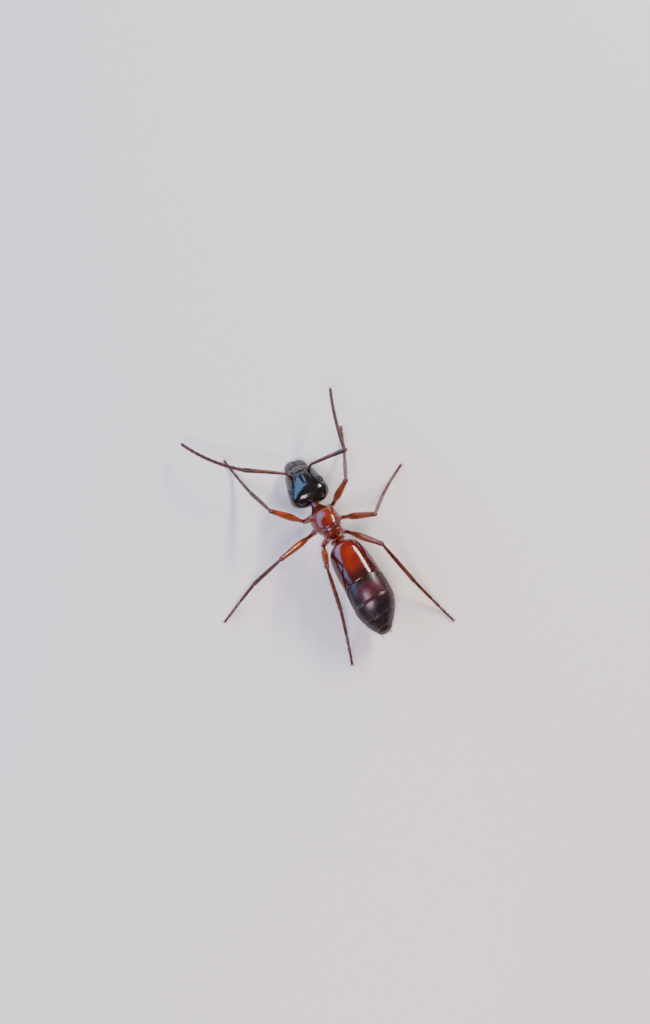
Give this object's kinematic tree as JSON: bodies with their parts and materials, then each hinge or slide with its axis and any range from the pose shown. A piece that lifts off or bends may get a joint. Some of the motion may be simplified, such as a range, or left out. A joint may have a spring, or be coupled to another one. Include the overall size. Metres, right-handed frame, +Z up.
{
  "type": "tropical carpenter ant",
  "caption": "Life-size model of a tropical carpenter ant worker standing on its feet, with a black head, orange-red trunk and dark gaster.",
  "frame": {"origin": "on the floor, under the middle of the outline that the body, legs and feelers make from above", "axes": "+Z up from the floor; the ant faces -Y, so +X is its own left; the body, with the feelers ahead and the hind feet behind, is longest along Y"},
  "size_m": [0.014, 0.0174, 0.0038],
  "materials": {
    "black_shell": "polished black shell of the head and jaws, mirror-like where it faces the sky",
    "eye": "black compound eye, finely faceted, softly glossy",
    "orange_shell": "glossy orange-red shell of the trunk and petiole",
    "red_shell": "very glossy orange-red to red-brown shell of the first gaster plate",
    "purple_shell": "glossy dark purple-brown to black shell of the rest of the gaster",
    "orange_leg": "satin, slightly clear orange shell of the coxae and femora",
    "brown_leg": "satin reddish-brown shell of the tibiae, tarsi and feelers"
  },
  "bodies": {
    "root": {"coxa_front_left": "orange_leg", "coxa_front_right": "orange_leg", "coxa_hind_left": "orange_leg", "coxa_hind_right": "orange_leg", "coxa_middle_left": "orange_leg", "coxa_middle_right": "orange_leg", "eye_left": "eye", "eye_right": "eye", "femur_front_left": "orange_leg", "femur_front_right": "orange_leg", "femur_hind_left": "orange_leg", "femur_hind_right": "orange_leg", "femur_middle_left": "orange_leg", "femur_middle_right": "orange_leg", "funiculus_left": "brown_leg", "funiculus_right": "brown_leg", "gaster_tergite_1": "red_shell", "gaster_tergite_2": "purple_shell", "gaster_tergite_3": "purple_shell", "gaster_tergite_4": "purple_shell", "gaster_tergite_5": "purple_shell", "head": "black_shell", "mandible_left": "black_shell", "mandible_right": "black_shell", "mesonotum": "orange_shell", "petiole": "orange_shell", "pronotum": "orange_shell", "propodeum": "orange_shell", "scape_left": "brown_leg", "scape_right": "brown_leg", "tarsus_front_left": "brown_leg", "tarsus_front_right": "brown_leg", "tarsus_hind_left": "brown_leg", "tarsus_hind_right": "brown_leg", "tarsus_middle_left": "brown_leg", "tarsus_middle_right": "brown_leg", "tibia_front_left": "brown_leg", "tibia_front_right": "brown_leg", "tibia_hind_left": "brown_leg", "tibia_hind_right": "brown_leg", "tibia_middle_left": "brown_leg", "tibia_middle_right": "brown_leg"}
  },
  "joints": []
}
